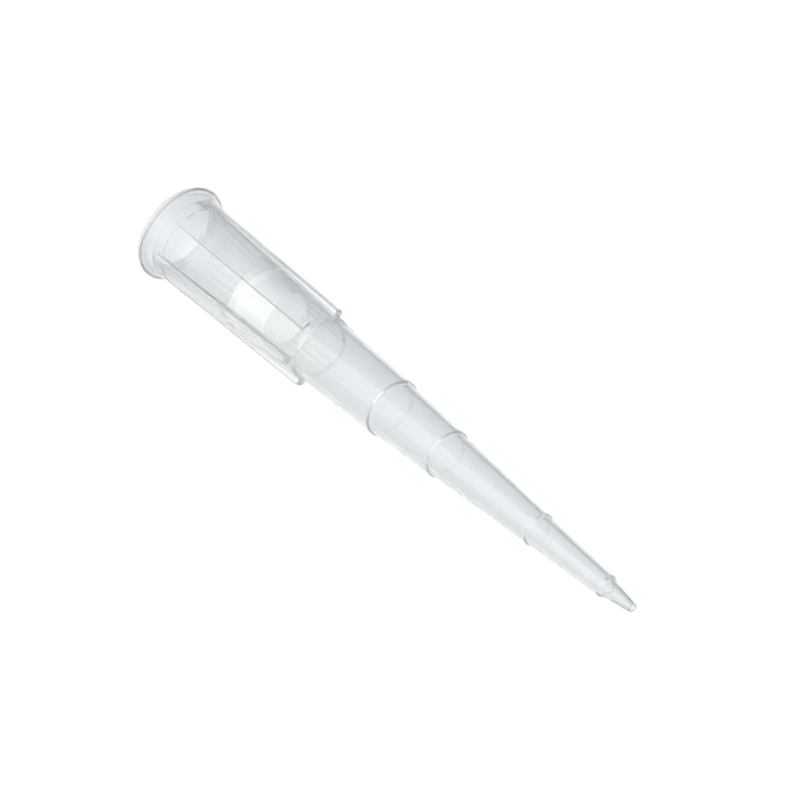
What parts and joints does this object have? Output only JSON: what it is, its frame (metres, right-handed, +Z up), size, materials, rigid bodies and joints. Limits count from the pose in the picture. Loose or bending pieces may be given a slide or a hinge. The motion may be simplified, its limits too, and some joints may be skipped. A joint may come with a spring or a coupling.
{
  "type": "filter pipette tip",
  "caption": "Clear moulded pipette tip with a ribbed socket, a stepped tapering body, a fine small end and a white filter plug pressed into the socket.",
  "frame": {"origin": "on the bench under the middle of the tip, which lies on its side", "axes": "+X from the mouth towards the small end, +Z up"},
  "size_m": [0.056, 0.008, 0.0081],
  "materials": {
    "clear_polypropylene": "polished clear moulding",
    "porous_polyethylene": "fine sintered grain"
  },
  "bodies": {
    "root": {"tip_body": "clear_polypropylene", "filter_plug": "porous_polyethylene"}
  },
  "joints": []
}
